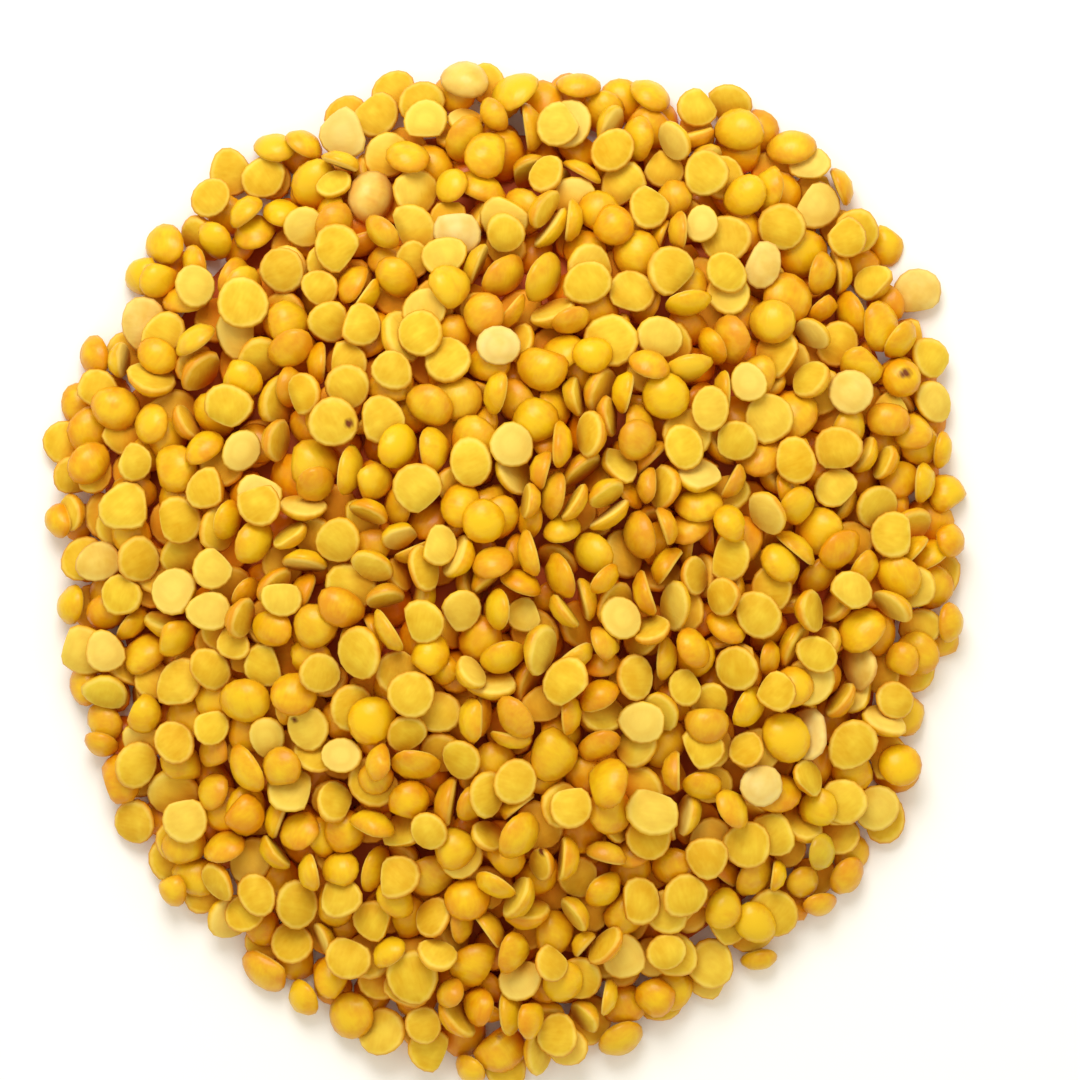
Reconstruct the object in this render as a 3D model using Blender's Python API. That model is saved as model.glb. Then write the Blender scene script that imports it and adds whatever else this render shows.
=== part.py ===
"""A loose heap of split pigeon peas on a flat surface, as one solid.

Each pea is half a seed: a dome on one side and the flat split face on the other. The heap is made the way
it is poured. Half peas are dropped on the mound one by one, and each slides and leans a little until it
lies lower. The ones that show at the end are fused to a core, which stands for the peas below them.
Metres, +Z up. The origin is on the flat underside, below the middle of the heap.
"""

import math

import bmesh
import bpy
import numpy as np
from mathutils import Matrix

MM = 0.001

# The mound: a low cone with a round top, a toe one pea thick, and a shallow dimple beside the peak. The
# height is that of its smooth surface. Single peas stick out of it, but none above the top height.
HEAP_HEIGHT = 19.0 * MM
TOP_HEIGHT = 20.6 * MM
TOE_HEIGHT = 2.6 * MM
SLOPE_POWER = 1.7
DIMPLE_CENTRE = (11.0 * MM, 2.6 * MM)
DIMPLE_DEPTH = 2.0 * MM
DIMPLE_RADIUS = 15.0 * MM

# The lobed outline on the surface: its radius in mm at equal steps anticlockwise from +X.
RIM_RADII_MM = (
    54, 54, 58, 60, 61, 59, 59, 59.5, 57, 56, 55, 56, 52, 52, 53, 54.5, 55, 57, 60, 56.5, 55, 54, 54, 52,
)

# Single peas that stick out of the outline, in mm.
STRAY_PEAS_MM = (
    (0, -58), (18, -50), (24, -47), (40, -33), (44, -29), (46, -23), (51, -8), (48, 32.5), (44.5, 38),
    (30, 52), (26.5, 54.5), (14, 55.5), (7, 56), (-2, 57), (-13, 56), (-18.5, 53.5), (-32, 46.5),
    (-50, 20), (-52, 15.5),
)

# One half pea: half its length, its width as a share of that, its dome, how much each of them varies, and
# how far at most.
HALF_LENGTH = 2.8 * MM
WIDTH_SHARE = 0.92
DOME_HEIGHT = 2.05 * MM
LENGTH_SPREAD = 0.085
WIDTH_SPREAD = 0.05
DOME_SPREAD = 0.07
DOME_WEIGHT_SHARE = 0.37
LENGTH_LIMITS_IN_SPREADS = (-2.5, 1.8)
WIDTH_SHARE_LIMITS = (0.78, 1.0)
DOME_LIMITS = (0.8, 1.2)

# The dome is a ball's cap, stretched to the pea's size. The cap's rim is 1 wide and lies this far above the
# middle of the ball, so the dome meets the split face at a slant.
CAP_RISE = 0.1
CAP_RADIUS = math.hypot(1, CAP_RISE)
CAP_HEIGHT = CAP_RADIUS - CAP_RISE
BALL_SHARES = np.array([CAP_RADIUS, CAP_RADIUS, CAP_RADIUS / CAP_HEIGHT])

# How the peas lie when they are dropped, in radians. In the dimple they stand on edge, most of them with the
# edge along Y.
SPLIT_FACE_UP_SHARE = 0.5
LEAN = 0.7
ON_EDGE_LEAN = (0.9, 1.4)
ON_EDGE_SWERVE = 0.6
ON_EDGE_SHARE = 0.14
DIMPLE_ON_EDGE_SHARE = 1.0

# How they are poured: the surface is a field of square cells, and each pea reads and raises a patch of it.
SEED = 3
DROPS = 2400
FIELD_WIDTH = 132 * MM
CELL = 0.3 * MM
PATCH_CELLS = 17
BURIED_DEPTH = 6.0 * MM
STAND_PROUD = 2.2 * MM
ON_EDGE_PROUD = 3.6 * MM
SITES_TRIED = 24
SITE_CELLS = 3
RIM_STEP = 5.2 * MM
RIM_INSET = 3.1 * MM
RIM_SPREAD = 0.6 * MM
RIM_STEP_SHARES = (0.85, 1.2)

# How a pea finds its rest: the slide and turn of each round of tries, and how far it may slide in all.
ROUNDS = ((1.3 * MM, 0.45), (0.9 * MM, 0.35), (0.6 * MM, 0.25), (0.4 * MM, 0.15), (0.2 * MM, 0.08))
ON_EDGE_ROUNDS = ROUNDS[-2:]
TRIES = 20
SLIDE = 1.6 * MM
RIM_SLIDE = 0.5 * MM
STRAY_SLIDE = 0.3 * MM

# The solid: a core below the peas, and the peas that show most, a little swollen because they are faceted.
# Each bites into the core, or into a pea nearer the middle, and all of it is cut flat at the surface.
CORE_DEPTH = 1.5 * MM
CORE_INSET = 4.2 * MM
CORE_SIDES = 36
CORE_RINGS = 14
FUSED_PEAS = 420
RIM_BAND = 4.5 * MM
RIM_FAVOUR = 3.0
PEA_SIDES = 7
PEA_RINGS = 4
FACET_SWELL = np.array([1.11, 1.11, 1.02])
BITE_DEPTH = 0.4 * MM
BITE_CELLS = 8
BITE_REACH = 2.5 * HALF_LENGTH
ROOT_STEP = 0.1 * MM
ROOT_STEPS = 50
SLAB_WIDTH = 0.2
SLAB_DEPTH = 0.01
CORE_FOOT_DEPTH = 1.0 * MM
TRIANGLES = 11700
FLOOR_BAND = 0.01 * MM
FLOOR_HOLD = 1000.0

SPLIT_PEA_YELLOW = (0.68, 0.33, 0.018, 1.0)
SPLIT_PEA_ROUGHNESS = 0.5


def rim_radius(angle):
    """The outline's radius at an angle, straight between the named radii."""
    turn = np.linspace(0, math.tau, len(RIM_RADII_MM) + 1)
    return np.interp(angle, turn, RIM_RADII_MM + RIM_RADII_MM[:1], period=math.tau) * MM


def mound_height(x, y):
    """The smooth height of the heap, nothing outside its outline."""
    share = np.hypot(x, y) / rim_radius(np.arctan2(y, x))
    cone = TOE_HEIGHT + (HEAP_HEIGHT - TOE_HEIGHT) * (1 - np.minimum(share, 1) ** SLOPE_POWER)
    away = np.hypot(x - DIMPLE_CENTRE[0], y - DIMPLE_CENTRE[1]) / DIMPLE_RADIUS
    return np.where(share < 1, cone - DIMPLE_DEPTH * np.exp(-(away**2)), 0)


def core_height(x, y):
    """The top of the core, a little below the mound and inside its outline."""
    inside = np.hypot(x, y) < rim_radius(np.arctan2(y, x)) - CORE_INSET
    return np.where(inside, mound_height(x, y) - CORE_DEPTH, 0)


def turns_about(vectors):
    """A turn matrix for each vector, about it and by its length in radians."""
    angle = np.linalg.norm(vectors, axis=1)
    x, y, z = (vectors / np.maximum(angle, 1e-12)[:, None]).T
    o = np.zeros_like(x)
    cross = np.array([[o, -z, y], [z, o, -x], [-y, x, o]]).transpose(2, 0, 1)
    sine, cosine = np.sin(angle)[:, None, None], np.cos(angle)[:, None, None]
    return np.eye(3) + sine * cross + (1 - cosine) * cross @ cross


def undersides_and_tops(dx, dy, turns, size):
    """Lowest and highest point of each turned half pea over each cell, and whether it is there at all."""
    ball = ((turns / (size * BALL_SHARES) ** 2) @ turns.transpose(0, 2, 1))[:, None, None]
    dome = turns[:, None, None, :, 2]
    middle = -CAP_RISE / CAP_HEIGHT * size[2] * dome
    x, y = dx - middle[..., 0], dy - middle[..., 1]
    level = ball[..., 2, 2]
    slope = ball[..., 0, 2] * x + ball[..., 1, 2] * y
    flat = ball[..., 0, 0] * x**2 + 2 * ball[..., 0, 1] * x * y + ball[..., 1, 1] * y**2 - 1
    inside = slope**2 - level * flat
    half = np.sqrt(np.maximum(inside, 0))
    low = middle[..., 2] - (slope + half) / level
    high = middle[..., 2] - (slope - half) / level
    split_face = -(dome[..., 0] * dx + dome[..., 1] * dy) / dome[..., 2]
    dome_up = dome[..., 2] > 0
    low = np.where(dome_up, np.maximum(low, split_face), low)
    high = np.where(dome_up, high, np.minimum(high, split_face))
    return low, high, (inside > 0) & (low < high)


class Heap:
    """The peas poured so far, with the height and the topmost pea of every cell."""

    def __init__(self):
        self.random = np.random.default_rng(SEED)
        self.axis = np.arange(CELL / 2, FIELD_WIDTH, CELL) - FIELD_WIDTH / 2
        x, y = np.meshgrid(self.axis, self.axis, indexing="ij")
        self.mound = mound_height(x, y)
        self.ground = np.maximum(self.mound - BURIED_DEPTH, 0)
        self.topmost = np.full(self.ground.shape, -1)
        self.peas = []

    def patch_at(self, x, y):
        """The cells round a point, with their places."""
        i, j = (round((place - self.axis[0]) / CELL) for place in (x, y))
        patch = np.s_[i - PATCH_CELLS : i + PATCH_CELLS + 1, j - PATCH_CELLS : j + PATCH_CELLS + 1]
        return patch, self.axis[patch[0], None], self.axis[None, patch[1]]

    def new_pea(self, on_edge):
        """A half pea of its own size, turned at random."""
        random = self.random
        half = HALF_LENGTH * (1 + LENGTH_SPREAD * np.clip(random.normal(), *LENGTH_LIMITS_IN_SPREADS))
        width = half * np.clip(random.normal(WIDTH_SHARE, WIDTH_SPREAD), *WIDTH_SHARE_LIMITS)
        dome = DOME_HEIGHT * np.clip(random.normal(1, DOME_SPREAD), *DOME_LIMITS)
        dome = dome * math.sqrt(half / HALF_LENGTH)
        turn = turns_about(np.array([[0, 0, random.uniform(0, math.tau)]]))[0]
        if random.random() < SPLIT_FACE_UP_SHARE:
            turn = turn @ np.diag([1.0, -1.0, -1.0])
        if on_edge:
            lean = random.uniform(*ON_EDGE_LEAN)
            way = random.choice((-1, 1)) * math.pi / 2 + random.normal(0, ON_EDGE_SWERVE)
        else:
            lean = abs(random.normal(0, LEAN))
            way = random.uniform(0, math.tau)
        tilt = turns_about(lean * np.array([[math.cos(way), math.sin(way), 0]]))[0]
        return tilt @ turn, np.array([half, width, dome])

    def drop(self, x, y, on_edge=False, slide=SLIDE, may_roll_off=True):
        """Drops one pea, which slides and turns to where its weight lies lowest."""
        turn, size = self.new_pea(on_edge)
        patch, patch_x, patch_y = self.patch_at(x, y)
        below = self.ground[patch]
        start = spot = np.array([x, y])
        lowest = math.inf
        for sway, swing in ON_EDGE_ROUNDS if on_edge else ROUNDS:
            shifts = self.random.normal(0, sway, (TRIES, 2))
            swings = self.random.normal(0, swing, (TRIES, 3))
            shifts[0] = swings[0] = 0
            spots = np.clip(spot + shifts, start - slide, start + slide)
            turns = turns_about(swings) @ turn
            dx = patch_x - spots[:, 0, None, None]
            dy = patch_y - spots[:, 1, None, None]
            low, high, hit = undersides_and_tops(dx, dy, turns, size)
            z = np.where(hit, below - low, 0).max((1, 2))
            weight = z + turns[:, 2, 2] * size[2] * DOME_WEIGHT_SHARE
            best = int(weight.argmin())
            if weight[best] < lowest:
                lowest = weight[best]
                spot, turn = spots[best], turns[best]
                rest = z[best], high[best], hit[best]
        z, high, hit = rest
        top = np.where(hit, z + high, 0)
        proud = ON_EDGE_PROUD if on_edge else STAND_PROUD
        if may_roll_off and top.max() > min(mound_height(*spot) + proud, TOP_HEIGHT):
            return
        shows = top > below
        self.topmost[patch][shows] = len(self.peas)
        self.ground[patch][shows] = top[shows]
        self.peas.append((np.array([*spot, z]), turn, size))

    def hollow_site(self, inside):
        """Of a few random cells, the place that lies deepest below the mound."""
        picks = inside[self.random.integers(0, len(inside), SITES_TRIED)]
        depth = [
            self.mound[i, j]
            - self.ground[i - SITE_CELLS : i + SITE_CELLS + 1, j - SITE_CELLS : j + SITE_CELLS + 1].mean()
            for i, j in picks
        ]
        return self.axis[picks[int(np.argmax(depth))]]

    def pour(self):
        """The strays, then a ring of peas along the rim, then the rest wherever the heap is hollow."""
        for x, y in STRAY_PEAS_MM:
            self.drop(x * MM, y * MM, slide=STRAY_SLIDE, may_roll_off=False)
        angle = 0.0
        while angle < math.tau:
            radius = rim_radius(angle) - RIM_INSET - abs(self.random.normal(0, RIM_SPREAD))
            x, y = radius * math.cos(angle), radius * math.sin(angle)
            self.drop(x, y, slide=RIM_SLIDE, may_roll_off=False)
            angle += RIM_STEP / radius * self.random.uniform(*RIM_STEP_SHARES)
        inside = np.argwhere(self.mound > 0)
        for _ in range(DROPS):
            x, y = self.hollow_site(inside)
            held = min(1, (rim_radius(math.atan2(y, x)) - RIM_INSET) / math.hypot(x, y))
            away = math.hypot(x - DIMPLE_CENTRE[0], y - DIMPLE_CENTRE[1]) / DIMPLE_RADIUS
            share = ON_EDGE_SHARE + (DIMPLE_ON_EDGE_SHARE - ON_EDGE_SHARE) * math.exp(-(away**2))
            self.drop(x * held, y * held, on_edge=self.random.random() < share)

    def most_visible(self, count):
        """The peas that show the most from above, with favour to the rim, which shows from the side."""
        cells_seen = np.bincount(self.topmost[self.topmost >= 0], minlength=len(self.peas))
        x, y = np.array([place[:2] for place, _, _ in self.peas]).T
        along_rim = np.hypot(x, y) > rim_radius(np.arctan2(y, x)) - RIM_BAND
        shown = cells_seen * np.where(along_rim, RIM_FAVOUR, 1)
        return [self.peas[k] for k in np.argsort(-shown, kind="stable")[:count]]

    def span(self, place, turn, size, patch_x, patch_y):
        """Lowest and highest point of a pea over each cell, infinite and crossed over where it isn't."""
        low, high, hit = undersides_and_tops(patch_x - place[0], patch_y - place[1], turn[None], size)
        return np.where(hit, place[2] + low, math.inf)[0], np.where(hit, place[2] + high, -math.inf)[0]

    def bites(self, pea, fused):
        """Whether a pea reaches far enough into the core or into one of the fused peas."""
        _, patch_x, patch_y = self.patch_at(*pea[0][:2])
        low, high = self.span(*pea, patch_x, patch_y)
        near = [other for other in fused if np.linalg.norm(other[0] - pea[0]) < BITE_REACH]
        spans = [self.span(*other, patch_x, patch_y) for other in near]
        spans.append((-math.inf, core_height(patch_x, patch_y)))
        depths = [np.minimum(high, its_high) - np.maximum(low, its_low) for its_low, its_high in spans]
        return any(np.count_nonzero(depth > BITE_DEPTH) >= BITE_CELLS for depth in depths)

    def rooted(self, peas):
        """The peas from the middle outwards, each moved down, or in along the surface, until it bites."""
        fused = []
        for place, turn, size in sorted(peas, key=lambda pea: math.hypot(*pea[0][:2])):
            for _ in range(ROOT_STEPS):
                if self.bites((place, turn, size), fused):
                    break
                _, patch_x, patch_y = self.patch_at(*place[:2])
                low, _ = self.span(place, turn, size, patch_x, patch_y)
                inwards = np.array([*place[:2] / math.hypot(*place[:2]), 0])
                place = place - ROOT_STEP * (np.array([0, 0, 1]) if low.min() > ROOT_STEP else inwards)
            fused.append((place, turn, size))
        return fused


def half_pea_mesh():
    """A faceted half pea of half width 1 and height 1, with its split face on the XY plane."""
    mesh = bpy.data.meshes.new("half_pea")
    bm = bmesh.new()
    bmesh.ops.create_uvsphere(bm, u_segments=PEA_SIDES, v_segments=PEA_RINGS, radius=CAP_RADIUS)
    bmesh.ops.translate(bm, verts=bm.verts[:], vec=(0, 0, -CAP_RISE))
    cut_at_floor(bm)
    bmesh.ops.scale(bm, verts=bm.verts[:], vec=(1, 1, 1 / CAP_HEIGHT))
    bm.to_mesh(mesh)
    bm.free()
    return mesh


def cut_at_floor(bm):
    """Keeps what is above the XY plane and closes it with a flat face there."""
    everything = bm.verts[:] + bm.edges[:] + bm.faces[:]
    bmesh.ops.bisect_plane(bm, geom=everything, plane_co=(0, 0, 0), plane_no=(0, 0, 1), clear_inner=True)
    bmesh.ops.holes_fill(bm, edges=[edge for edge in bm.edges if edge.is_boundary])


def core_mesh(material):
    """A half ball spread out to the outline, its top at the core's height, its foot below the surface."""
    mesh = bpy.data.meshes.new("lentil_heap")
    bm = bmesh.new()
    bmesh.ops.create_uvsphere(bm, u_segments=CORE_SIDES, v_segments=CORE_RINGS, radius=1)
    cut_at_floor(bm)
    for vert in bm.verts:
        angle = math.atan2(vert.co.y, vert.co.x)
        radius = math.hypot(vert.co.x, vert.co.y) * (rim_radius(angle) - CORE_INSET)
        x, y = radius * math.cos(angle), radius * math.sin(angle)
        on_floor = vert.co.z < 1e-6
        vert.co = (x, y, -CORE_FOOT_DEPTH if on_floor else mound_height(x, y) - CORE_DEPTH)
    bm.to_mesh(mesh)
    bm.free()
    mesh.materials.append(material)
    return mesh


def split_pea_material():
    """The waxy yellow of the split peas."""
    material = bpy.data.materials.new("split_peas")
    material.use_nodes = True
    shader = material.node_tree.nodes["Principled BSDF"]
    shader.inputs["Base Color"].default_value = SPLIT_PEA_YELLOW
    shader.inputs["Roughness"].default_value = SPLIT_PEA_ROUGHNESS
    shader.inputs["Metallic"].default_value = 0.0
    return material


def largest_shell(bm):
    """Deletes every shell but the largest, which drops loose scraps and fills sealed hollows."""
    shells = []
    left = set(bm.faces)
    while left:
        shell = [left.pop()]
        for face in shell:
            for edge in face.edges:
                for other in edge.link_faces:
                    if other in left:
                        left.remove(other)
                        shell.append(other)
        shells.append(shell)
    shells.sort(key=len)
    scraps = [face for shell in shells[:-1] for face in shell]
    bmesh.ops.delete(bm, geom=scraps, context="FACES")


def floor_slab():
    """A slab whose top is the surface that the heap lies on."""
    mesh = bpy.data.meshes.new("floor_slab")
    bm = bmesh.new()
    bmesh.ops.create_cube(bm, size=1)
    bmesh.ops.scale(bm, verts=bm.verts[:], vec=(SLAB_WIDTH, SLAB_WIDTH, SLAB_DEPTH))
    bmesh.ops.translate(bm, verts=bm.verts[:], vec=(0, 0, -SLAB_DEPTH / 2))
    bm.to_mesh(mesh)
    bm.free()
    return mesh


def add_cutter(name, mesh, collection):
    """An object that only joins or cuts, shown as a wire."""
    cutter = bpy.data.objects.new(name, mesh)
    cutter.hide_render = True
    cutter.display_type = "WIRE"
    collection.objects.link(cutter)
    return cutter


def fuse(heap_object, peas_collection, slab):
    """Joins the peas to the core with one union, cuts the underside flat, and removes peas and slab."""
    union = heap_object.modifiers.new("peas", "BOOLEAN")
    union.operation = "UNION"
    union.operand_type = "COLLECTION"
    union.collection = peas_collection
    union.solver = "EXACT"
    cut = heap_object.modifiers.new("flat_underside", "BOOLEAN")
    cut.operation = "DIFFERENCE"
    cut.object = slab
    cut.solver = "EXACT"
    bpy.context.view_layer.update()
    evaluated = heap_object.evaluated_get(bpy.context.evaluated_depsgraph_get())
    bm = bmesh.new()
    bm.from_mesh(evaluated.to_mesh())
    evaluated.to_mesh_clear()
    heap_object.modifiers.clear()
    bmesh.ops.triangulate(bm, faces=bm.faces[:])
    largest_shell(bm)
    bm.to_mesh(heap_object.data)
    bm.free()
    for cutter in [*peas_collection.objects, slab]:
        bpy.data.objects.remove(cutter)
    bpy.data.collections.remove(peas_collection)


def thin_out(heap_object):
    """Merges the many small faces along the seams between peas, but none on the flat underside."""
    above_floor = heap_object.vertex_groups.new(name="above_floor")
    free = [vert.index for vert in heap_object.data.vertices if vert.co.z > FLOOR_BAND]
    above_floor.add(free, 1.0, "REPLACE")
    thin = heap_object.modifiers.new("seams", "DECIMATE")
    thin.ratio = TRIANGLES / len(heap_object.data.polygons)
    thin.vertex_group = above_floor.name
    thin.vertex_group_factor = FLOOR_HOLD


def build():
    """Empties the scene and builds the heap."""
    for old in list(bpy.data.objects):
        bpy.data.objects.remove(old)
    part_collection = bpy.data.collections.new("heap_of_split_peas")
    peas_collection = bpy.data.collections.new("peas_to_fuse")
    cutters_collection = bpy.data.collections.new("cutters")
    for collection in (part_collection, peas_collection, cutters_collection):
        bpy.context.scene.collection.children.link(collection)

    heap = Heap()
    heap.pour()
    half_pea = half_pea_mesh()
    for number, (place, turn, size) in enumerate(heap.rooted(heap.most_visible(FUSED_PEAS))):
        pea = add_cutter(f"half_pea_{number}", half_pea, peas_collection)
        scale = Matrix.Diagonal((*(size * FACET_SWELL).tolist(), 1))
        pea.matrix_world = Matrix.Translation(place.tolist()) @ Matrix(turn.tolist()).to_4x4() @ scale

    heap_object = bpy.data.objects.new("lentil_heap", core_mesh(split_pea_material()))
    part_collection.objects.link(heap_object)
    fuse(heap_object, peas_collection, add_cutter("floor_slab", floor_slab(), cutters_collection))
    thin_out(heap_object)


build()
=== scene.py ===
import math

import bmesh
import bpy
import numpy as np
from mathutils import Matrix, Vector


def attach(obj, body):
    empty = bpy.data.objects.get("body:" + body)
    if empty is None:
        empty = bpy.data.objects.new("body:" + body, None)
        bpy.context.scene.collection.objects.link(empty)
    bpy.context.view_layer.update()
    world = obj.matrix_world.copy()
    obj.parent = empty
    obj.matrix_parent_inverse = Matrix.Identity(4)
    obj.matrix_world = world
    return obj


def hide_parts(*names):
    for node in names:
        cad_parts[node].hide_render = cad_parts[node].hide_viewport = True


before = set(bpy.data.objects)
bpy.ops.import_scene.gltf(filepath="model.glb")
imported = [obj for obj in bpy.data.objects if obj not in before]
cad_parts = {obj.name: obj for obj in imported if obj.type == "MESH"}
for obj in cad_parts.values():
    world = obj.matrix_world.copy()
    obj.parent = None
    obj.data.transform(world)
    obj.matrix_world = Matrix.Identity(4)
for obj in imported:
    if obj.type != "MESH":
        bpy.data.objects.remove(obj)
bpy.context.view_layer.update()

MM = 0.001

# How the heap is poured. Split pigeon peas, half a seed each, are let fall on a flat surface, where they
# spread to a low mound with a lobed rim. Each one slides and leans until it lies lower, and comes to rest
# split face up, dome up or on its edge. Nothing holds them but their weight.

# The mound: a low cone with a round top, a toe one pea thick, and a shallow dimple beside the peak. The
# height is that of its smooth surface. Single peas stick out of it, but none above the top height.
HEAP_HEIGHT = 19.0 * MM
TOP_HEIGHT = 20.6 * MM
TOE_HEIGHT = 2.6 * MM
SLOPE_POWER = 1.7
DIMPLE_CENTRE = (11.0 * MM, 2.6 * MM)
DIMPLE_DEPTH = 2.0 * MM
DIMPLE_RADIUS = 15.0 * MM

# The lobed outline on the surface: its radius in mm at equal steps anticlockwise from +X.
RIM_RADII_MM = (
    54, 54, 58, 60, 61, 59, 59, 59.5, 57, 56, 55, 56, 52, 52, 53, 54.5, 55, 57, 60, 56.5, 55, 54, 54, 52,
)

# Single peas that stick out of the outline, in mm.
STRAY_PEAS_MM = (
    (0, -58), (18, -50), (24, -47), (40, -33), (44, -29), (46, -23), (51, -8), (48, 32.5), (44.5, 38),
    (30, 52), (26.5, 54.5), (14, 55.5), (7, 56), (-2, 57), (-13, 56), (-18.5, 53.5), (-32, 46.5),
    (-50, 20), (-52, 15.5),
)

# One half pea: half its length, its width as a share of that, its dome, how much each of them varies, and
# how far at most.
HALF_LENGTH = 2.8 * MM
WIDTH_SHARE = 0.92
DOME_HEIGHT = 2.05 * MM
LENGTH_SPREAD = 0.085
WIDTH_SPREAD = 0.05
DOME_SPREAD = 0.07
DOME_WEIGHT_SHARE = 0.37
LENGTH_LIMITS_IN_SPREADS = (-2.5, 1.8)
WIDTH_SHARE_LIMITS = (0.78, 1.0)
DOME_LIMITS = (0.8, 1.2)

# The dome is a ball's cap, stretched to the pea's size. The cap's rim is 1 wide and lies this far above the
# middle of the ball, so the dome meets the split face at a slant.
CAP_RISE = 0.1
CAP_RADIUS = math.hypot(1, CAP_RISE)
CAP_HEIGHT = CAP_RADIUS - CAP_RISE
BALL_SHARES = np.array([CAP_RADIUS, CAP_RADIUS, CAP_RADIUS / CAP_HEIGHT])

# How the peas lie when they are dropped, in radians. In the dimple they stand on edge, most of them with the
# edge along Y.
SPLIT_FACE_UP_SHARE = 0.5
LEAN = 0.7
ON_EDGE_LEAN = (0.9, 1.4)
ON_EDGE_SWERVE = 0.6
ON_EDGE_SHARE = 0.14
DIMPLE_ON_EDGE_SHARE = 1.0

# How they are poured: the surface is a field of square cells, and each pea reads and raises a patch of it.
SEED = 3
DROPS = 2400
FIELD_WIDTH = 132 * MM
CELL = 0.3 * MM
PATCH_CELLS = 17
BURIED_DEPTH = 6.0 * MM
STAND_PROUD = 2.2 * MM
ON_EDGE_PROUD = 3.6 * MM
SITES_TRIED = 24
SITE_CELLS = 3
RIM_STEP = 5.2 * MM
RIM_INSET = 3.1 * MM
RIM_SPREAD = 0.6 * MM
RIM_STEP_SHARES = (0.85, 1.2)

# How a pea finds its rest: the slide and turn of each round of tries, and how far it may slide in all.
ROUNDS = ((1.3 * MM, 0.45), (0.9 * MM, 0.35), (0.6 * MM, 0.25), (0.4 * MM, 0.15), (0.2 * MM, 0.08))
ON_EDGE_ROUNDS = ROUNDS[-2:]
TRIES = 20
SLIDE = 1.6 * MM
RIM_SLIDE = 0.5 * MM
STRAY_SLIDE = 0.3 * MM

# How many cells round a place are looked at to find the pea that shows most there.
NEAR_CELLS = 9


def rim_radius(angle):
    """The outline's radius at an angle, straight between the named radii."""
    turn = np.linspace(0, math.tau, len(RIM_RADII_MM) + 1)
    return np.interp(angle, turn, RIM_RADII_MM + RIM_RADII_MM[:1], period=math.tau) * MM


def mound_height(x, y):
    """The smooth height of the heap, nothing outside its outline."""
    share = np.hypot(x, y) / rim_radius(np.arctan2(y, x))
    cone = TOE_HEIGHT + (HEAP_HEIGHT - TOE_HEIGHT) * (1 - np.minimum(share, 1) ** SLOPE_POWER)
    away = np.hypot(x - DIMPLE_CENTRE[0], y - DIMPLE_CENTRE[1]) / DIMPLE_RADIUS
    return np.where(share < 1, cone - DIMPLE_DEPTH * np.exp(-(away**2)), 0)


def turns_about(vectors):
    """A turn matrix for each vector, about it and by its length in radians."""
    angle = np.linalg.norm(vectors, axis=1)
    x, y, z = (vectors / np.maximum(angle, 1e-12)[:, None]).T
    o = np.zeros_like(x)
    cross = np.array([[o, -z, y], [z, o, -x], [-y, x, o]]).transpose(2, 0, 1)
    sine, cosine = np.sin(angle)[:, None, None], np.cos(angle)[:, None, None]
    return np.eye(3) + sine * cross + (1 - cosine) * cross @ cross


def undersides_and_tops(dx, dy, turns, size):
    """Lowest and highest point of each turned half pea over each cell, and whether it is there at all."""
    ball = ((turns / (size * BALL_SHARES) ** 2) @ turns.transpose(0, 2, 1))[:, None, None]
    dome = turns[:, None, None, :, 2]
    middle = -CAP_RISE / CAP_HEIGHT * size[2] * dome
    x, y = dx - middle[..., 0], dy - middle[..., 1]
    level = ball[..., 2, 2]
    slope = ball[..., 0, 2] * x + ball[..., 1, 2] * y
    flat = ball[..., 0, 0] * x**2 + 2 * ball[..., 0, 1] * x * y + ball[..., 1, 1] * y**2 - 1
    inside = slope**2 - level * flat
    half = np.sqrt(np.maximum(inside, 0))
    low = middle[..., 2] - (slope + half) / level
    high = middle[..., 2] - (slope - half) / level
    split_face = -(dome[..., 0] * dx + dome[..., 1] * dy) / dome[..., 2]
    dome_up = dome[..., 2] > 0
    low = np.where(dome_up, np.maximum(low, split_face), low)
    high = np.where(dome_up, high, np.minimum(high, split_face))
    return low, high, (inside > 0) & (low < high)


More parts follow.
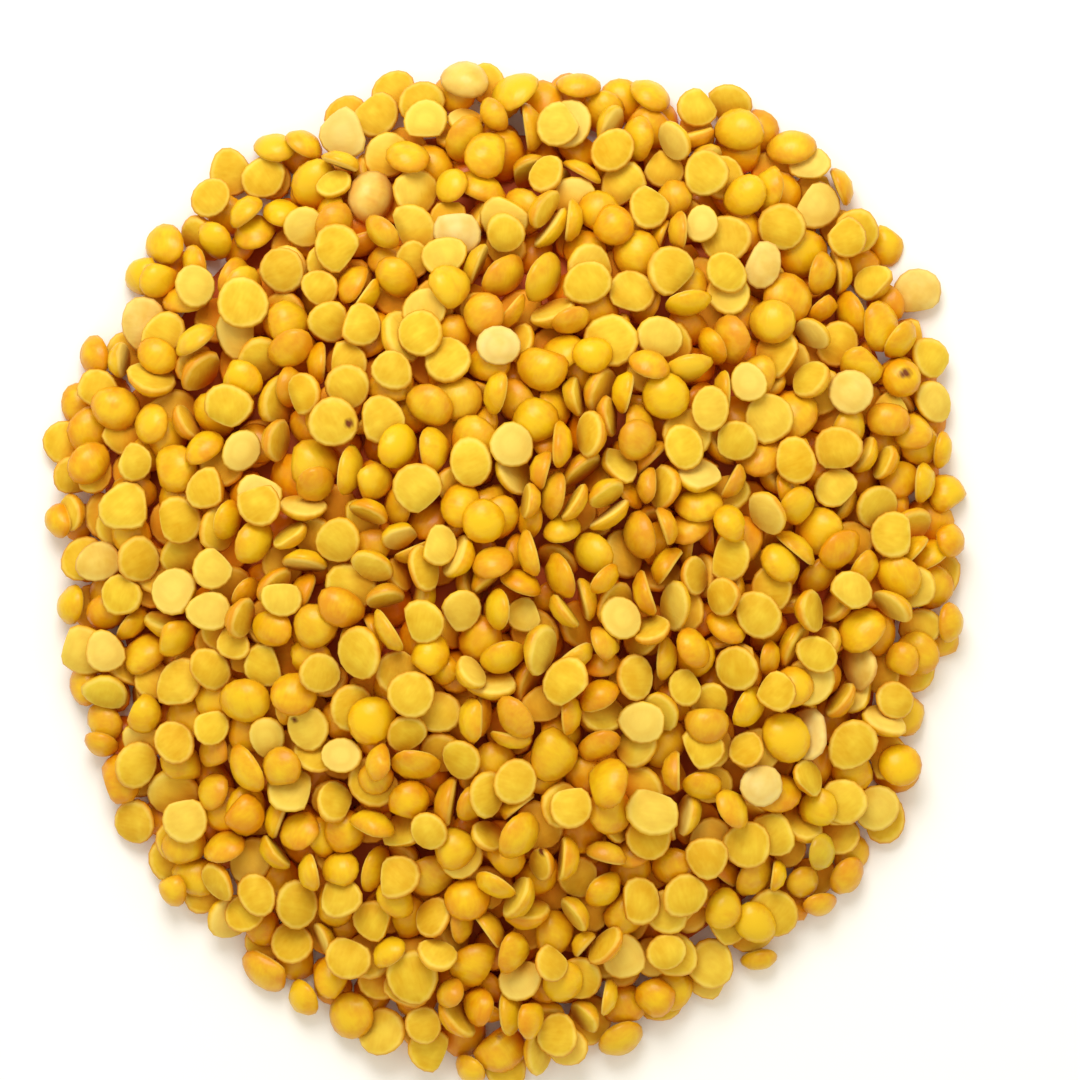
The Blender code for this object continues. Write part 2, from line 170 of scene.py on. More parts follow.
class Heap:
    """The peas poured so far, with the height and the topmost pea of every cell."""

    def __init__(self):
        self.random = np.random.default_rng(SEED)
        self.axis = np.arange(CELL / 2, FIELD_WIDTH, CELL) - FIELD_WIDTH / 2
        x, y = np.meshgrid(self.axis, self.axis, indexing="ij")
        self.mound = mound_height(x, y)
        self.ground = np.maximum(self.mound - BURIED_DEPTH, 0)
        self.topmost = np.full(self.ground.shape, -1)
        self.peas = []

    def patch_at(self, x, y):
        """The cells round a point, with their places."""
        i, j = (round((place - self.axis[0]) / CELL) for place in (x, y))
        patch = np.s_[i - PATCH_CELLS : i + PATCH_CELLS + 1, j - PATCH_CELLS : j + PATCH_CELLS + 1]
        return patch, self.axis[patch[0], None], self.axis[None, patch[1]]

    def new_pea(self, on_edge):
        """A half pea of its own size, turned at random."""
        random = self.random
        half = HALF_LENGTH * (1 + LENGTH_SPREAD * np.clip(random.normal(), *LENGTH_LIMITS_IN_SPREADS))
        width = half * np.clip(random.normal(WIDTH_SHARE, WIDTH_SPREAD), *WIDTH_SHARE_LIMITS)
        dome = DOME_HEIGHT * np.clip(random.normal(1, DOME_SPREAD), *DOME_LIMITS)
        dome = dome * math.sqrt(half / HALF_LENGTH)
        turn = turns_about(np.array([[0, 0, random.uniform(0, math.tau)]]))[0]
        if random.random() < SPLIT_FACE_UP_SHARE:
            turn = turn @ np.diag([1.0, -1.0, -1.0])
        if on_edge:
            lean = random.uniform(*ON_EDGE_LEAN)
            way = random.choice((-1, 1)) * math.pi / 2 + random.normal(0, ON_EDGE_SWERVE)
        else:
            lean = abs(random.normal(0, LEAN))
            way = random.uniform(0, math.tau)
        tilt = turns_about(lean * np.array([[math.cos(way), math.sin(way), 0]]))[0]
        return tilt @ turn, np.array([half, width, dome])

    def drop(self, x, y, on_edge=False, slide=SLIDE, may_roll_off=True):
        """Drops one pea, which slides and turns to where its weight lies lowest."""
        turn, size = self.new_pea(on_edge)
        patch, patch_x, patch_y = self.patch_at(x, y)
        below = self.ground[patch]
        start = spot = np.array([x, y])
        lowest = math.inf
        for sway, swing in ON_EDGE_ROUNDS if on_edge else ROUNDS:
            shifts = self.random.normal(0, sway, (TRIES, 2))
            swings = self.random.normal(0, swing, (TRIES, 3))
            shifts[0] = swings[0] = 0
            spots = np.clip(spot + shifts, start - slide, start + slide)
            turns = turns_about(swings) @ turn
            dx = patch_x - spots[:, 0, None, None]
            dy = patch_y - spots[:, 1, None, None]
            low, high, hit = undersides_and_tops(dx, dy, turns, size)
            z = np.where(hit, below - low, 0).max((1, 2))
            weight = z + turns[:, 2, 2] * size[2] * DOME_WEIGHT_SHARE
            best = int(weight.argmin())
            if weight[best] < lowest:
                lowest = weight[best]
                spot, turn = spots[best], turns[best]
                rest = z[best], high[best], hit[best]
        z, high, hit = rest
        top = np.where(hit, z + high, 0)
        proud = ON_EDGE_PROUD if on_edge else STAND_PROUD
        if may_roll_off and top.max() > min(mound_height(*spot) + proud, TOP_HEIGHT):
            return
        shows = top > below
        self.topmost[patch][shows] = len(self.peas)
        self.ground[patch][shows] = top[shows]
        self.peas.append((np.array([*spot, z]), turn, size))

    def hollow_site(self, inside):
        """Of a few random cells, the place that lies deepest below the mound."""
        picks = inside[self.random.integers(0, len(inside), SITES_TRIED)]
        depth = [
            self.mound[i, j]
            - self.ground[i - SITE_CELLS : i + SITE_CELLS + 1, j - SITE_CELLS : j + SITE_CELLS + 1].mean()
            for i, j in picks
        ]
        return self.axis[picks[int(np.argmax(depth))]]

    def pour(self):
        """The strays, then a ring of peas along the rim, then the rest wherever the heap is hollow."""
        for x, y in STRAY_PEAS_MM:
            self.drop(x * MM, y * MM, slide=STRAY_SLIDE, may_roll_off=False)
        angle = 0.0
        while angle < math.tau:
            radius = rim_radius(angle) - RIM_INSET - abs(self.random.normal(0, RIM_SPREAD))
            x, y = radius * math.cos(angle), radius * math.sin(angle)
            self.drop(x, y, slide=RIM_SLIDE, may_roll_off=False)
            angle += RIM_STEP / radius * self.random.uniform(*RIM_STEP_SHARES)
        inside = np.argwhere(self.mound > 0)
        for _ in range(DROPS):
            x, y = self.hollow_site(inside)
            held = min(1, (rim_radius(math.atan2(y, x)) - RIM_INSET) / math.hypot(x, y))
            away = math.hypot(x - DIMPLE_CENTRE[0], y - DIMPLE_CENTRE[1]) / DIMPLE_RADIUS
            share = ON_EDGE_SHARE + (DIMPLE_ON_EDGE_SHARE - ON_EDGE_SHARE) * math.exp(-(away**2))
            self.drop(x * held, y * held, on_edge=self.random.random() < share)

    def pea_at(self, x_mm, y_mm):
        """The number of the pea that shows most round a place."""
        i, j = (round((place * MM - self.axis[0]) / CELL) for place in (x_mm, y_mm))
        near = self.topmost[i - NEAR_CELLS : i + NEAR_CELLS + 1, j - NEAR_CELLS : j + NEAR_CELLS + 1]
        return int(np.bincount(near[near >= 0]).argmax())


heap = Heap()
heap.pour()

# The buried core. It stands for the peas under the top two layers, which no one sees but as the dark
# orange bottom of the gaps; that dark red-orange is painted shade in its colour, darker than the peas' own
# yellow. It is one closed mound with a flat underside, with bumps the size of a pea.
CORE_SIDES = 72
CORE_RINGS = 48
CORE_BUMP = 0.5 * MM
CORE_BUMP_PITCH = 5.0 * MM
CORE_FOOT = 0.2 * MM
FLAT_BELOW = 1e-6
# Painted shade: the buried peas' colours are darkened to red-orange for the shade deep in the gaps.
BURIED_PEA_PAINTED_SHADE_DEEP = "#B23E06"
BURIED_PEA_PAINTED_SHADE_BRIGHT = "#DC680A"
BURIED_PEA_ROUGHNESS = 0.7


def linear(hex_colour):
    """An sRGB hex colour as linear RGBA."""
    parts = [int(hex_colour[k : k + 2], 16) / 255 for k in (1, 3, 5)]
    return tuple(c / 12.92 if c <= 0.04045 else ((c + 0.055) / 1.055) ** 2.4 for c in parts) + (1.0,)


# Sockets go by name or number. On a Mix node 0 is the share and 6 and 7 are the colours, and on a Map
# Range node 1 to 4 are the ends that it maps from and to.
def add_node(tree, kind, values=(), links=(), **settings):
    """Adds a node with its settings, its sockets' values and the links into them, and gives its outputs."""
    node = tree.nodes.new(kind)
    for name, value in settings.items():
        setattr(node, name, value)
    for socket, value in dict(values).items():
        node.inputs[socket].default_value = value
    for socket, source in dict(links).items():
        tree.links.new(source, node.inputs[socket])
    return node.outputs


def new_material(name):
    """A material with its node tree, and its Principled shader."""
    material = bpy.data.materials.new(name)
    material.use_nodes = True
    return material, material.node_tree, material.node_tree.nodes["Principled BSDF"]


def add_piece(name, mesh):
    """Shows a mesh as a piece of the heap, riding on its one body."""
    piece = bpy.data.objects.new(name, mesh)
    bpy.context.scene.collection.objects.link(piece)
    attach(piece, "root")
    return piece


def core_radius(angle):
    """Where the mound is as high as the buried depth, which is where the core ends."""
    share = (1 - (BURIED_DEPTH - TOE_HEIGHT) / (HEAP_HEIGHT - TOE_HEIGHT)) ** (1 / SLOPE_POWER)
    return rim_radius(angle) * share


def core_mesh():
    """A half ball spread out to the core's outline, its top moved to the core's bumpy height."""
    mesh = bpy.data.meshes.new("buried_core")
    bm = bmesh.new()
    bmesh.ops.create_uvsphere(bm, u_segments=CORE_SIDES, v_segments=CORE_RINGS, radius=1)
    everything = bm.verts[:] + bm.edges[:] + bm.faces[:]
    bmesh.ops.bisect_plane(bm, geom=everything, plane_co=(0, 0, 0), plane_no=(0, 0, 1), clear_inner=True)
    bmesh.ops.holes_fill(bm, edges=[edge for edge in bm.edges if edge.is_boundary])
    wave = math.tau / CORE_BUMP_PITCH
    for vert in bm.verts:
        angle = math.atan2(vert.co.y, vert.co.x)
        radius = math.hypot(vert.co.x, vert.co.y) * core_radius(angle)
        x, y = radius * math.cos(angle), radius * math.sin(angle)
        bump = CORE_BUMP * math.sin(wave * x + math.sin(wave * y / 2)) * math.sin(wave * y)
        top = max(mound_height(x, y) - BURIED_DEPTH + bump, CORE_FOOT)
        vert.co = (x, y, 0 if vert.co.z < FLAT_BELOW else top)
    bm.to_mesh(mesh)
    bm.free()
    mesh.shade_smooth()
    return mesh


def buried_pea_painted_shade_material():
    """Split peas deep in the heap, painted red-orange, darker than their own yellow, as painted shade of the
    light that has passed between others.
    """
    material, tree, shader = new_material("buried_split_pea_painted_shade")
    place = add_node(tree, "ShaderNodeTexCoord")["Object"]
    texture = {"Scale": 1 / CORE_BUMP_PITCH, "Detail": 1.0}
    mottle = add_node(tree, "ShaderNodeTexNoise", texture, {"Vector": place})[0]
    colours = {6: linear(BURIED_PEA_PAINTED_SHADE_DEEP), 7: linear(BURIED_PEA_PAINTED_SHADE_BRIGHT)}
    colour = add_node(tree, "ShaderNodeMix", colours, {0: mottle}, data_type="RGBA")[2]
    tree.links.new(colour, shader.inputs["Base Color"])
    shader.inputs["Roughness"].default_value = BURIED_PEA_ROUGHNESS
    return material


core = core_mesh()
core.materials.append(buried_pea_painted_shade_material())
buried_core = add_piece("buried_core", core)
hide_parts("lentil_heap")

# The half peas. Each is one cotyledon of a pigeon pea: the seed was dried, rubbed free of its red-brown
# skin and split, which leaves a smooth waxy dome and a flat, floury split face with a rounded rim. The
# ones with a straight side show where the seed was joined to its stalk.

# A unit half pea is this profile turned once, from the top of its dome to the middle of its split face.
PEA_SIDES = 16
PEA_PROFILE = ((0.0, 1.0), (0.58, 0.82), (0.92, 0.41), (0.985, 0.16), (0.87, 0.0), (0.0, 0.0))
WELD_WITHIN = 1e-4
SPLIT_FACE_BELOW = 0.05

# How far each one strays from it: the waves of its outline, how far its split face is dished, how far it is
# bent and about what level, how far its dome leans, and where its straight side starts and how much of what
# is past that is kept.
WOBBLES = ((2, 0.034), (3, 0.028), (5, 0.012))
DISH = (-0.08, 0.12)
BEND = (-0.06, 0.1)
BEND_LEVEL = 0.3
SKEW = 0.1
STRAIGHT_FROM = (0.5, 0.8)
STRAIGHT_KEEP = 0.25

# The kinds, by the width as a share of the length.
ROUND_SHARE = 0.955
OVAL_SHARE = 0.9


def half_pea_template():
    """The half pea of unit size: its points and its faces."""
    bm = bmesh.new()
    points = [bm.verts.new((reach, 0, height)) for reach, height in PEA_PROFILE]
    edges = [bm.edges.new(pair) for pair in zip(points, points[1:])]
    profile = points + edges
    bmesh.ops.spin(
        bm, geom=profile, cent=(0, 0, 0), axis=(0, 0, 1), angle=math.tau, steps=PEA_SIDES, use_merge=True
    )
    bmesh.ops.remove_doubles(bm, verts=bm.verts[:], dist=WELD_WITHIN)
    bmesh.ops.recalc_face_normals(bm, faces=bm.faces[:])
    bm.verts.index_update()
    places = np.array([vert.co[:] for vert in bm.verts])
    faces = [[vert.index for vert in face.verts] for face in bm.faces]
    bm.free()
    return places, faces


template_places, template_faces = half_pea_template()
template_reach = np.hypot(template_places[:, 0], template_places[:, 1])
on_split_face = (template_places[:, 2] < SPLIT_FACE_BELOW).astype(float)


def shaped_pea(size, random, straight_side):
    """The points of one half pea of its own shape, before it is turned, in metres."""
    x, y, z = template_places.T.copy()
    angle = np.arctan2(y, x)
    outline = 1.0
    for lobes, depth in WOBBLES:
        outline = outline + random.normal(0, depth) * np.cos(lobes * angle + random.uniform(0, math.tau))
    x, y = x * outline, y * outline
    if straight_side:
        way = random.uniform(0, math.tau)
        across = x * math.cos(way) + y * math.sin(way)
        push = np.maximum(across - random.uniform(*STRAIGHT_FROM), 0) * (1 - STRAIGHT_KEEP)
        x, y = x - push * math.cos(way), y - push * math.sin(way)
    lean = random.normal(0, SKEW, 2)
    x, y = x + lean[0] * np.maximum(z, 0), y + lean[1] * np.maximum(z, 0)
    z = z + random.uniform(*DISH) * on_split_face * (1 - template_reach**2)
    way = random.uniform(0, math.tau)
    z = z + random.uniform(*BEND) * ((x * math.cos(way) + y * math.sin(way)) ** 2 - BEND_LEVEL)
    return np.column_stack([x, y, z]) * size


def kind_of(size):
    """Round, straight-sided or oval, by the pea's width."""
    share = size[1] / size[0]
    if share > ROUND_SHARE:
        return "round_half_peas"
    return "straight_sided_half_peas" if share > OVAL_SHARE else "oval_half_peas"


# The looks of single peas: place in mm, how pale, how green, and the place and radius of a dark speck on
# them in mm. The seed that was picked green, the bleached ones and the worm-eaten one lie among the rest.
ODD_PEAS = (
    ((-4.0, 39.9), 0.85, 0.0, None),
    ((-1.2, 25.9), 0.75, 0.0, None),
    ((36.7, -19.5), 0.75, 0.0, None),
    ((28.9, 37.3), 0.5, 0.0, None),
    ((28.6, -26.7), 0.8, 0.0, None),
    ((-2.0, 57.0), 0.45, 0.0, None),
    ((-18.4, 53.4), 0.5, 0.0, None),
    ((-14.5, 43.3), 0.4, 0.0, None),
    ((-44.0, 26.8), 0.5, 0.0, None),
    ((-47.5, 1.2), 0.35, 0.0, None),
    ((47.8, 32.9), 0.5, 0.0, None),
    ((41.2, 18.1), 0.4, 0.0, None),
    ((42.0, -12.9), 0.4, 0.0, None),
    ((-44.5, -11.9), 0.0, 0.18, None),
    ((34.7, -32.1), 0.0, 0.4, None),
    ((47.5, 21.1), 0.0, 0.0, (0.5, 0.3, 0.62)),
    ((-21.9, 18.6), 0.0, 0.0, (1.6, 0.9, 0.5)),
    ((-21.5, -18.2), 0.0, 0.0, (-1.3, 1.2, 0.35)),
    ((3.3, -32.4), 0.0, 0.0, (1.7, -0.8, 0.55)),
    ((-0.4, -58.0), 0.0, 0.0, (0.8, 1.5, 0.5)),
)

# A place far from any speck, and how far up its dome a pea has its own.
NO_SPECK = np.array([99.0, 99.0, 99.0])
SPECK_HEIGHT = 0.9

# How pale and how green any pea may be, how far from each other the peas take their patches and streaks,
# and a pea's width in cells, over which the heap's height is evened out to tell how deep a point lies.
PALE_SPREAD = 0.04
GREEN_SPREAD = 0.12
GRAIN_SPREAD_MM = 500
EVENED_OUT_CELLS = 19
odd_looks = {heap.pea_at(*place): looks for place, *looks in ODD_PEAS}
even_out = np.ones(EVENED_OUT_CELLS) / EVENED_OUT_CELLS
nearby_height = np.apply_along_axis(np.convolve, 0, heap.ground, even_out, "same")
nearby_height = np.apply_along_axis(np.convolve, 1, nearby_height, even_out, "same")


def depth_in_heap(points):
    """How far points lie below the heap's surface near them, in mm."""
    i, j = ((points[:, :2] - heap.axis[0]) / CELL).round().astype(int).T
    return (nearby_height[i, j] - points[:, 2]) / MM


def joined_peas(name, numbers, material):
    """One mesh of many half peas, with what the material reads of each."""
    random = np.random.default_rng(len(numbers))
    count = len(template_places)
    corners = np.array([corner for face in template_faces for corner in face])
    totals = np.array([len(face) for face in template_faces])
    points, grain, look, speck, spot = [], [], [], [], []
    for number in numbers:
        place, turn, size = heap.peas[number]
        shape = shaped_pea(size, random, "straight" in name)
        pale, green = random.random() * PALE_SPREAD, random.random() ** 2 * GREEN_SPREAD
        odd_pale, odd_green, dark_speck = odd_looks.get(number, (0.0, 0.0, None))
        points.append(shape @ turn.T + place)
        spot.append(np.column_stack([on_split_face, template_reach, depth_in_heap(points[-1])]))
        grain.append(shape / MM + random.uniform(-GRAIN_SPREAD_MM, GRAIN_SPREAD_MM, 3))
        look.append(np.tile([random.random(), max(pale, odd_pale), max(green, odd_green)], (count, 1)))
        if dark_speck:
            *middle, radius = dark_speck
            height = size[2] / MM * SPECK_HEIGHT if turn[2, 2] > 0 else 0.0
            speck.append((shape / MM - np.array([*middle, height])) / radius)
        else:
            speck.append(np.tile(NO_SPECK, (count, 1)))
    copies = np.arange(len(numbers))[:, None]
    mesh = bpy.data.meshes.new(name)
    mesh.vertices.add(count * len(numbers))
    mesh.vertices.foreach_set("co", np.concatenate(points).ravel())
    mesh.loops.add(len(corners) * len(numbers))
    mesh.loops.foreach_set("vertex_index", (corners + copies * count).ravel())
    mesh.polygons.add(len(totals) * len(numbers))
    starts = np.concatenate([[0], np.cumsum(totals)[:-1]])
    mesh.polygons.foreach_set("loop_start", (starts + copies * len(corners)).ravel())
    mesh.update(calc_edges=True)
    for attribute, values in {"grain": grain, "look": look, "speck": speck, "spot": spot}.items():
        data = mesh.attributes.new(attribute, "FLOAT_VECTOR", "POINT").data
        data.foreach_set("vector", np.concatenate(values).ravel())
    mesh.materials.append(material)
    mesh.shade_smooth()
    mesh.validate()
    return mesh


# Dried cotyledon. Rubbing has polished the dome to a dull wax; its crown is painted brighter and its flanks
# deeper orange, as painted light and shade. The split face broke clean, so it is matt and paler, with a
# painted highlight along its rim and a faint ring where it sank as it dried. Deep between the others a pea
# is lit through its neighbours, and that red-orange is painted into its colour as painted shade.

# Patches 2 mm wide and streaks 0.4 mm wide. The real streaks are finer, and are drawn coarser to show.
PATCHES_PER_MM = 0.5
PATCH_CONTRAST = 1.7
PATCH_MIDDLE = -0.9
TONE_CONTRAST = 0.75
STREAKS_PER_MM = 2.5
STREAK_STRETCH = (1.0, 0.3, 1.0)
STREAK_CONTRAST = 0.6

# The dome, from flank to crown, with painted shade on its flanks and painted light on its crown.
DOME_DEEP = "#D68C04"
DOME_BRIGHT = "#E5B80E"
CROWN_AND_FLANK_REACH = (0.5, 1.0)
PAINTED_CROWN_AND_FLANK_SHADE = (0.15, -0.35)

# The split face, with its floury bloom, the painted highlight along its rim and its ring.
FACE_DEEP = "#D3A008"
FACE_BRIGHT = "#E4C22E"
FACE_FLOURY = "#EACC70"
FLOURY_TONES = (0.65, 1.1)
FLOURY_SHARE = 0.8
RAGGED_RIM_EDGE = 0.3
RIM_PAINTED_HIGHLIGHT = "#F3D672"
RIM_HIGHLIGHT_REACH = (0.92, 1.06)
RIM_HIGHLIGHT_SHARE = 0.4
RING_OCHRE = "#D09018"
RING_REACH = (0.5, 0.72)
RING_SHARE = 0.3

# The odd ones.
BLEACHED_CREAM = "#E4CC80"
BLEACHING_CONTRAST = 1.6
BLEACHING_LEAST = 0.15
UNRIPE_GREEN = "#A3A32A"
WORM_HOLE_BROWN = "#6E340C"
HOLE_RAGGEDNESS = 1.2
HOLE_EDGE = (2.1, 1.1)

# The painted shade that depth multiplies the colour by, and the depths where that starts and is full.
BURIED_PAINTED_SHADE = (1.1, 0.54, 0.03, 1.0)
BURIED_FROM_MM = 0.5
BURIED_TO_MM = 3.8

# The wax and the relief.
DOME_ROUGHNESS = 0.32
FACE_ROUGHNESS = 0.75
WAX_IOR = 1.45
WAX_SPECULAR = 0.3
RELIEF_DEPTH = 0.1 * MM
RELIEF_STRENGTH = 0.6
STREAK_RELIEF = 0.45


def split_pea_material():
    """The cotyledon's waxy dome and floury split face, which the spot attribute tells apart."""
    material, tree, shader = new_material("dried_pea_cotyledon")
    grain = add_node(tree, "ShaderNodeAttribute", attribute_name="grain")["Vector"]
    look = add_node(tree, "ShaderNodeAttribute", attribute_name="look")["Vector"]
    spot = add_node(tree, "ShaderNodeAttribute", attribute_name="spot")["Vector"]
    tone, pale, green = add_node(tree, "ShaderNodeSeparateXYZ", links={0: look})
    split_face, reach, depth = add_node(tree, "ShaderNodeSeparateXYZ", links={0: spot})
    texture = {"Scale": PATCHES_PER_MM, "Detail": 2.0}
    patches = add_node(tree, "ShaderNodeTexNoise", texture, {"Vector": grain})[0]
    links = {0: grain}
    along = add_node(tree, "ShaderNodeVectorMath", {1: STREAK_STRETCH}, links, operation="MULTIPLY")[0]
    texture = {"Scale": STREAKS_PER_MM, "Detail": 1.0}
    streaks = add_node(tree, "ShaderNodeTexNoise", texture, {"Vector": along})[0]

    # How bright a spot is, by its patches, the pea's own tone and the streaks.
    contrast = {1: PATCH_CONTRAST, 2: PATCH_MIDDLE}
    bright = add_node(tree, "ShaderNodeMath", contrast, {0: patches}, operation="MULTIPLY_ADD")[0]
    contrast, links = {1: TONE_CONTRAST}, {0: tone, 2: bright}
    bright = add_node(tree, "ShaderNodeMath", contrast, links, operation="MULTIPLY_ADD")[0]
    contrast, links = {1: STREAK_CONTRAST}, {0: streaks, 2: bright}
    bright = add_node(tree, "ShaderNodeMath", contrast, links, operation="MULTIPLY_ADD")[0]

    # The dome: painted light and shade make it brighter on its crown and deeper orange on its flanks.
    steps = dict(enumerate(CROWN_AND_FLANK_REACH + PAINTED_CROWN_AND_FLANK_SHADE, 1))
    crown = add_node(tree, "ShaderNodeMapRange", steps, {0: reach})[0]
    crown = add_node(tree, "ShaderNodeMath", links={0: bright, 1: crown}, operation="ADD")[0]
    colours = {6: linear(DOME_DEEP), 7: linear(DOME_BRIGHT)}
    dome = add_node(tree, "ShaderNodeMix", colours, {0: crown}, data_type="RGBA")[2]

    # The split face, floury on the palest peas; deep in the heap the bloom is taken away as part of the
    # painted shade there.
    colours = {6: linear(FACE_DEEP), 7: linear(FACE_BRIGHT)}
    face = add_node(tree, "ShaderNodeMix", colours, {0: bright}, data_type="RGBA")[2]
    buried = add_node(tree, "ShaderNodeMapRange", {1: BURIED_FROM_MM, 2: BURIED_TO_MM}, {0: depth})[0]
    steps = dict(enumerate((*FLOURY_TONES, 0.0, FLOURY_SHARE), 1))
    floury = add_node(tree, "ShaderNodeMapRange", steps, {0: tone})[0]
    links = {0: floury, 1: buried}
    floury = add_node(tree, "ShaderNodeMath", links=links, operation="SUBTRACT", use_clamp=True)[0]
    colours = {7: linear(FACE_FLOURY)}
    face = add_node(tree, "ShaderNodeMix", colours, {0: floury, 6: face}, data_type="RGBA")[2]
    colour = add_node(tree, "ShaderNodeMix", links={0: split_face, 6: dome, 7: face}, data_type="RGBA")[2]

    # The bleached peas, unevenly so, and the unripe ones.
    mottle = {1: BLEACHING_CONTRAST, 2: BLEACHING_LEAST}
    bleached = add_node(tree, "ShaderNodeMath", mottle, {0: patches}, operation="MULTIPLY_ADD")[0]
    bleached = add_node(tree, "ShaderNodeMath", links={0: bleached, 1: pale}, operation="MULTIPLY")[0]
    odd = {7: linear(BLEACHED_CREAM)}
    colour = add_node(tree, "ShaderNodeMix", odd, {0: bleached, 6: colour}, data_type="RGBA")[2]
    odd = {7: linear(UNRIPE_GREEN)}
    colour = add_node(tree, "ShaderNodeMix", odd, {0: green, 6: colour}, data_type="RGBA")[2]

    # The painted highlight along the rim of the split face, made ragged by the patches, and its ochre ring.
    rim_raggedness, links = {1: RAGGED_RIM_EDGE}, {0: patches, 2: reach}
    ragged_reach = add_node(tree, "ShaderNodeMath", rim_raggedness, links, operation="MULTIPLY_ADD")[0]
    steps = dict(enumerate((*RIM_HIGHLIGHT_REACH, 0.0, RIM_HIGHLIGHT_SHARE), 1))
    rim = add_node(tree, "ShaderNodeMapRange", steps, {0: ragged_reach})[0]
    rim = add_node(tree, "ShaderNodeMath", links={0: rim, 1: split_face}, operation="MULTIPLY")[0]
    painted_rim_highlight = {7: linear(RIM_PAINTED_HIGHLIGHT)}
    colour = add_node(tree, "ShaderNodeMix", painted_rim_highlight, {0: rim, 6: colour}, data_type="RGBA")[2]
    there_and_back = {1: RING_REACH[1]}
    ring = add_node(tree, "ShaderNodeMath", there_and_back, {0: ragged_reach}, operation="PINGPONG")[0]
    steps = dict(enumerate((*RING_REACH, 0.0, RING_SHARE), 1))
    ring = add_node(tree, "ShaderNodeMapRange", steps, {0: ring})[0]
    ring = add_node(tree, "ShaderNodeMath", links={0: ring, 1: patches}, operation="MULTIPLY")[0]
    ring = add_node(tree, "ShaderNodeMath", links={0: ring, 1: split_face}, operation="MULTIPLY")[0]
    ochre = {7: linear(RING_OCHRE)}
    colour = add_node(tree, "ShaderNodeMix", ochre, {0: ring, 6: colour}, data_type="RGBA")[2]

    # Painted shade: the red-orange of depth, multiplied into the colour. Then the dark specks with their
    # ragged edges.
    links = {0: buried, 6: colour}
    depth_shade_colour = {7: BURIED_PAINTED_SHADE}
    colour = add_node(tree, "ShaderNodeMix", depth_shade_colour, links, data_type="RGBA", blend_type="MULTIPLY")[2]
    speck_place = add_node(tree, "ShaderNodeAttribute", attribute_name="speck")["Vector"]
    speck_reach = add_node(tree, "ShaderNodeVectorMath", links={0: speck_place}, operation="LENGTH")["Value"]
    ragged, links = {1: HOLE_RAGGEDNESS}, {0: streaks, 2: speck_reach}
    speck_reach = add_node(tree, "ShaderNodeMath", ragged, links, operation="MULTIPLY_ADD")[0]
    steps = dict(enumerate(HOLE_EDGE, 1))
    speck = add_node(tree, "ShaderNodeMapRange", steps, {0: speck_reach})[0]
    odd = {7: linear(WORM_HOLE_BROWN)}
    colour = add_node(tree, "ShaderNodeMix", odd, {0: speck, 6: colour}, data_type="RGBA")[2]
    tree.links.new(colour, shader.inputs["Base Color"])

    # The wax of the dome, the dull split face, and the fine relief of both.
    roughness = {2: DOME_ROUGHNESS, 3: FACE_ROUGHNESS}
    roughness = add_node(tree, "ShaderNodeMix", roughness, {0: split_face}, data_type="FLOAT")[0]
    tree.links.new(roughness, shader.inputs["Roughness"])
    streak, links = {1: STREAK_RELIEF}, {0: streaks, 2: patches}
    height = add_node(tree, "ShaderNodeMath", streak, links, operation="MULTIPLY_ADD")[0]
    height = add_node(tree, "ShaderNodeMath", links={0: height, 1: speck}, operation="SUBTRACT")[0]
    relief = {"Strength": RELIEF_STRENGTH, "Distance": RELIEF_DEPTH}
    normal = add_node(tree, "ShaderNodeBump", relief, {"Height": height})[0]
    tree.links.new(normal, shader.inputs["Normal"])
    shader.inputs["IOR"].default_value = WAX_IOR
    shader.inputs["Specular IOR Level"].default_value = WAX_SPECULAR
    return material


half_pea_finish = split_pea_material()
kinds = {}
for number, (_, _, size) in enumerate(heap.peas):
    kinds.setdefault(kind_of(size), []).append(number)
for kind, numbers in sorted(kinds.items()):
    add_piece(kind, joined_peas(kind, numbers, half_pea_finish))

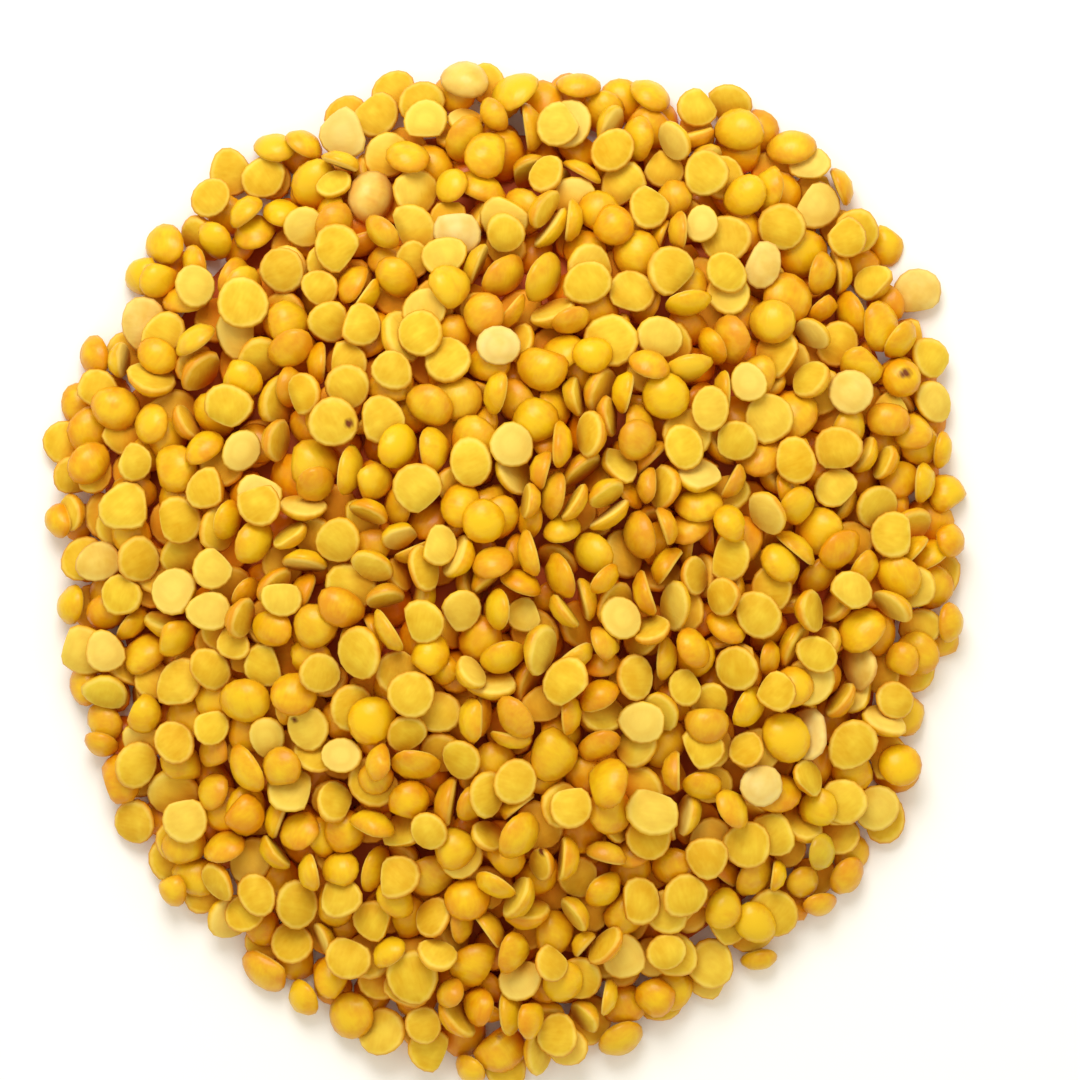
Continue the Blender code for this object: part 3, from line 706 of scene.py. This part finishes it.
# The surface. It is a plain near-white table top, matt, and isn't part of the heap.
SURFACE_WIDTH = 3.0
SURFACE_WHITE = "#F6F6F4"
SURFACE_ROUGHNESS = 0.9
bm = bmesh.new()
bmesh.ops.create_grid(bm, x_segments=1, y_segments=1, size=SURFACE_WIDTH / 2)
surface_mesh = bpy.data.meshes.new("plain_surface")
bm.to_mesh(surface_mesh)
bm.free()
surface_finish, _, surface_shader = new_material("matt_white_surface")
surface_shader.inputs["Base Color"].default_value = linear(SURFACE_WHITE)
surface_shader.inputs["Roughness"].default_value = SURFACE_ROUGHNESS
surface_mesh.materials.append(surface_finish)
surface = bpy.data.objects.new("plain_surface", surface_mesh)
bpy.context.scene.collection.objects.link(surface)

# The light. A large window-like softbox stands beyond the heap, towards the top of the photograph, and a
# pale room fills the shadows.
WINDOW_PLACE = (-0.05, 0.3, 0.36)
WINDOW_WIDTH = 0.26
WINDOW_WATTS = 1.55
ROOM_WHITE = "#FFF8E8"
ROOM_STRENGTH = 0.9
window_light = bpy.data.lights.new("window", "AREA")
window_light.energy = WINDOW_WATTS
window_light.size = WINDOW_WIDTH
window = bpy.data.objects.new("window", window_light)
window.location = WINDOW_PLACE
window.rotation_euler = (-Vector(WINDOW_PLACE)).to_track_quat("-Z", "Y").to_euler()
bpy.context.scene.collection.objects.link(window)
room = bpy.data.worlds.new("pale_room")
room.use_nodes = True
room_light = room.node_tree.nodes["Background"]
room_light.inputs["Color"].default_value = linear(ROOM_WHITE)
room_light.inputs["Strength"].default_value = ROOM_STRENGTH
bpy.context.scene.world = room
bpy.context.scene.view_settings.view_transform = "Standard"

# The camera. It looks straight down on the heap, as the photograph does. The photograph's middle lies a
# little right of and above the heap's origin, and a pixel of it is 1 / 8.5 mm.
PHOTO_PIXELS = 1080
PIXELS_PER_MM = 8.5
ORIGIN_PIXEL = (505, 572)
CAMERA_HEIGHT = 0.6
SENSOR_MM = 36.0
camera_data = bpy.data.cameras.new("camera")
camera_data.sensor_width = SENSOR_MM
camera_data.lens = SENSOR_MM * CAMERA_HEIGHT / (PHOTO_PIXELS / PIXELS_PER_MM * MM)
camera = bpy.data.objects.new("camera", camera_data)
camera.location = (
    (PHOTO_PIXELS / 2 - ORIGIN_PIXEL[0]) / PIXELS_PER_MM * MM,
    (ORIGIN_PIXEL[1] - PHOTO_PIXELS / 2) / PIXELS_PER_MM * MM,
    CAMERA_HEIGHT,
)
bpy.context.scene.collection.objects.link(camera)
bpy.context.scene.camera = camera
